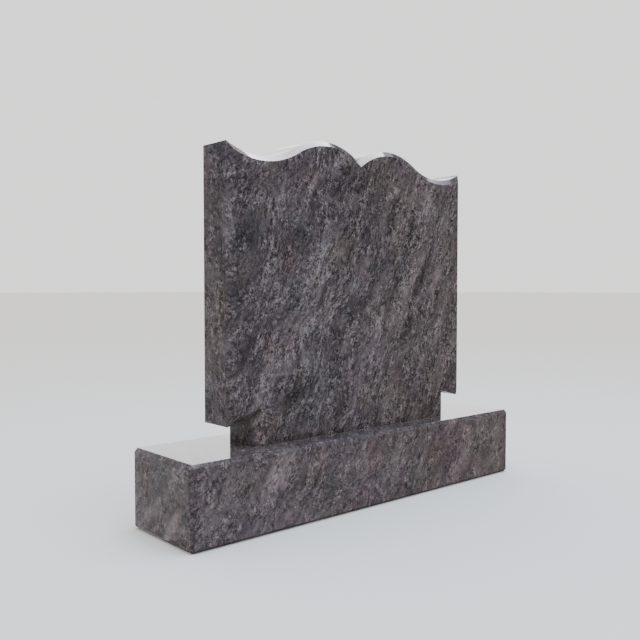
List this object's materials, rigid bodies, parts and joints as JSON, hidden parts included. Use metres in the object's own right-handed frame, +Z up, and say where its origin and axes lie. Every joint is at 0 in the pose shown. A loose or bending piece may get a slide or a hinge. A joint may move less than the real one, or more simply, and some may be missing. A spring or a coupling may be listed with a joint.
{
  "type": "headstone",
  "caption": "Upright granite headstone with a double wave top, chamfered face and notched foot, standing on a low rectangular granite base.",
  "frame": {"origin": "middle of the base's underside", "axes": "+Z up, the headstone's chamfered face looks toward -Y, the base's length runs along X"},
  "size_m": [0.762, 0.1704, 0.628],
  "materials": {
    "base_granite": "polished",
    "headstone_granite": "polished"
  },
  "bodies": {
    "root": {"base": "base_granite", "headstone": "headstone_granite"}
  },
  "joints": []
}
